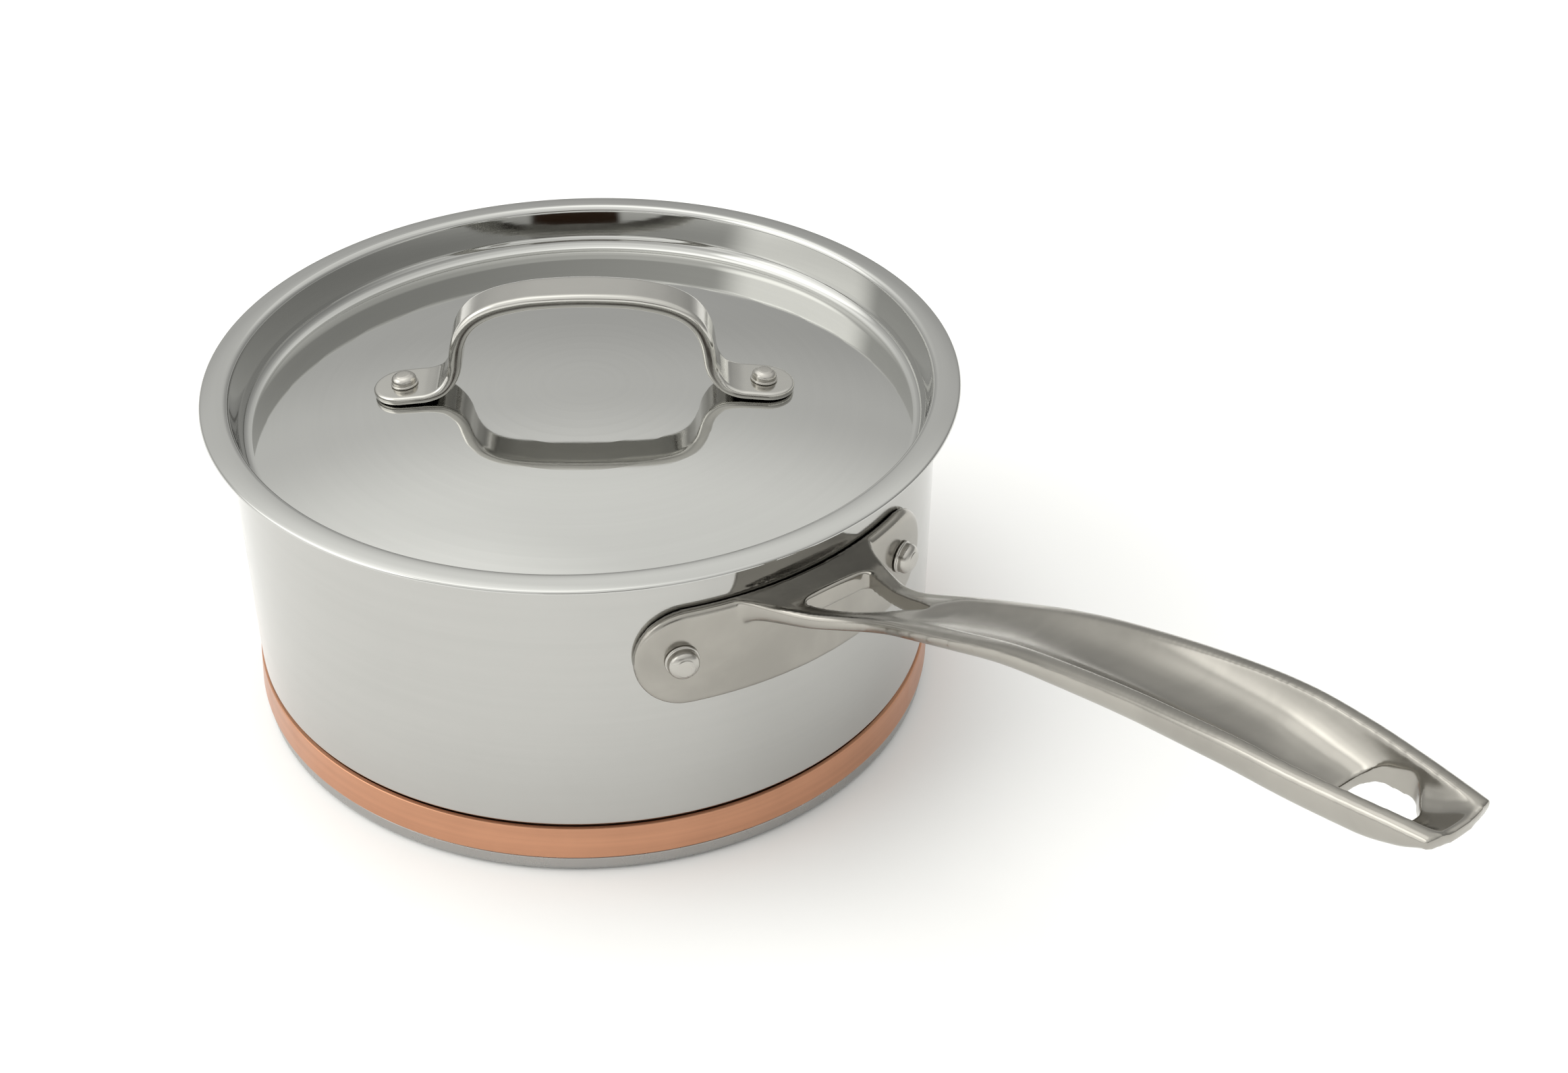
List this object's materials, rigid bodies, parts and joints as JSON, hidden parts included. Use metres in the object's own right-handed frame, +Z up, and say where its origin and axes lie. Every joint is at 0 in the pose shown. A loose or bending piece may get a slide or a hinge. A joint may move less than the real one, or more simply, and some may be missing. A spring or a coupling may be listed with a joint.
{
  "type": "saucepan with lid",
  "caption": "Straight-walled steel saucepan with a thick copper-banded base, a riveted cast handle that forks at the pot, and a dished steel lid with a riveted strap loop.",
  "frame": {"origin": "centre of the base's underside, on the pot's axis", "axes": "+Z up along the pot's axis, +X along the long handle"},
  "size_m": [0.4038, 0.2152, 0.1429],
  "materials": {
    "pot_steel": "satin polished stainless steel",
    "lid_steel": "mirror polished stainless steel, brushed flange",
    "cast_steel": "polished cast stainless steel",
    "rivet_steel": "satin",
    "base_steel": "satin",
    "copper": "satin copper",
    "core_aluminium": "plain"
  },
  "bodies": {
    "pot": {"pot_body": "pot_steel", "base_core": "core_aluminium", "copper_band": "copper", "base_cap": "base_steel", "long_handle": "cast_steel", "handle_rivet_left": "rivet_steel", "handle_rivet_right": "rivet_steel"},
    "lid": {"lid_shell": "lid_steel", "lid_handle": "cast_steel", "lid_rivet_left": "rivet_steel", "lid_rivet_right": "rivet_steel"}
  },
  "joints": [
    {"name": "lid_lift", "type": "slide", "parent": "pot", "child": "lid", "axis": [0, 0, 1], "range_m": [0, 0.15]}
  ]
}
